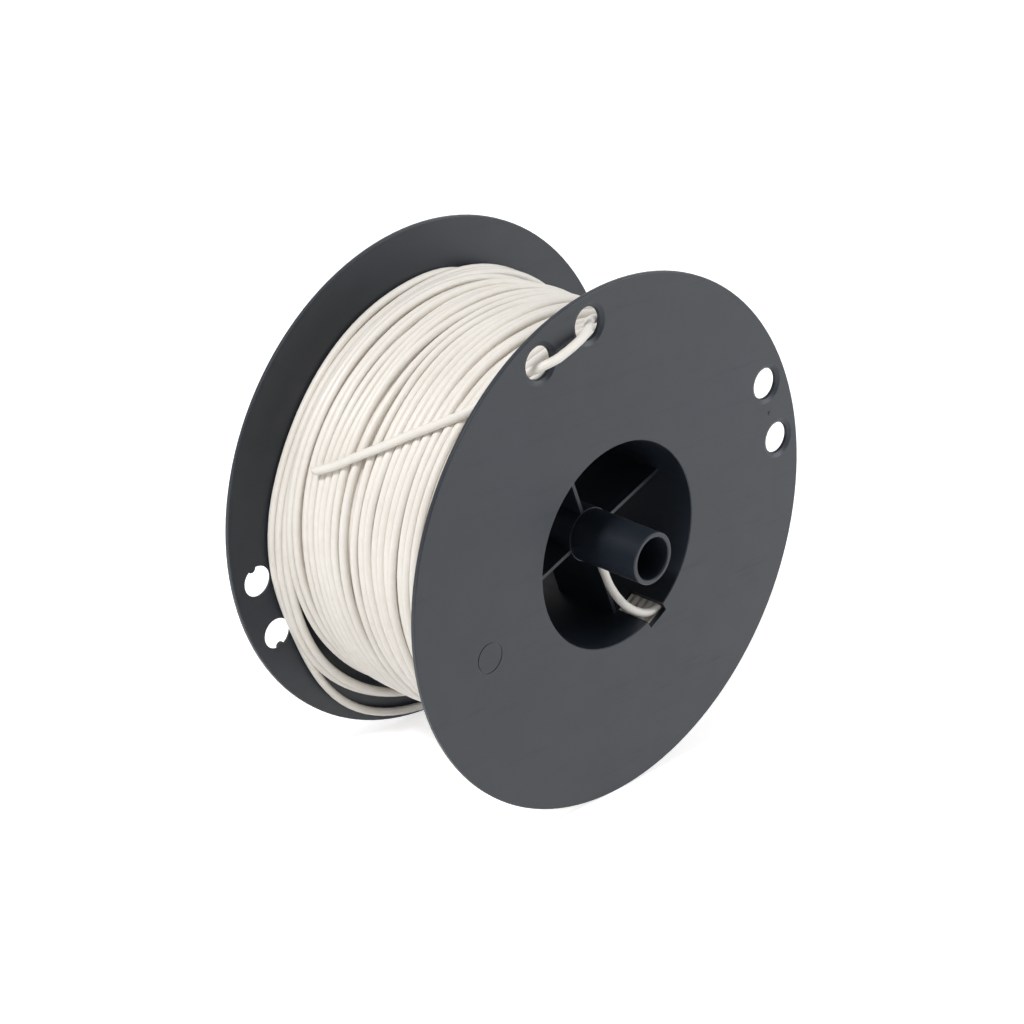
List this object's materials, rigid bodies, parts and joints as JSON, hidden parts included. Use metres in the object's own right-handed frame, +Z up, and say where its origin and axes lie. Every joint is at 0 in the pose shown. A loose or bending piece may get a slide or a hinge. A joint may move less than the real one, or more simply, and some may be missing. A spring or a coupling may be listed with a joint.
{
  "type": "wire spool",
  "caption": "Plastic spool with two flanges, a ribbed barrel and an axle tube, wound full of insulated flexible wire whose outer end is threaded through the flange's tie holes.",
  "frame": {"origin": "on the spool's axle, midway between the two flanges", "axes": "+Y along the axle from the front flange to the rear one, +X to the right and +Z up as seen from the front"},
  "size_m": [0.2, 0.1316, 0.2],
  "materials": {
    "spool_plastic": "satin moulded, dark blue-grey",
    "wire_insulation": "smooth soft plastic, warm white",
    "copper": "bare bright copper strands"
  },
  "bodies": {
    "root": {"front_half": "spool_plastic", "rear_half": "spool_plastic", "winding_core": "wire_insulation", "outer_turns": "wire_insulation", "outer_tail": "wire_insulation", "inner_tail": "wire_insulation", "outer_conductor": "copper", "inner_conductor": "copper"}
  },
  "joints": []
}
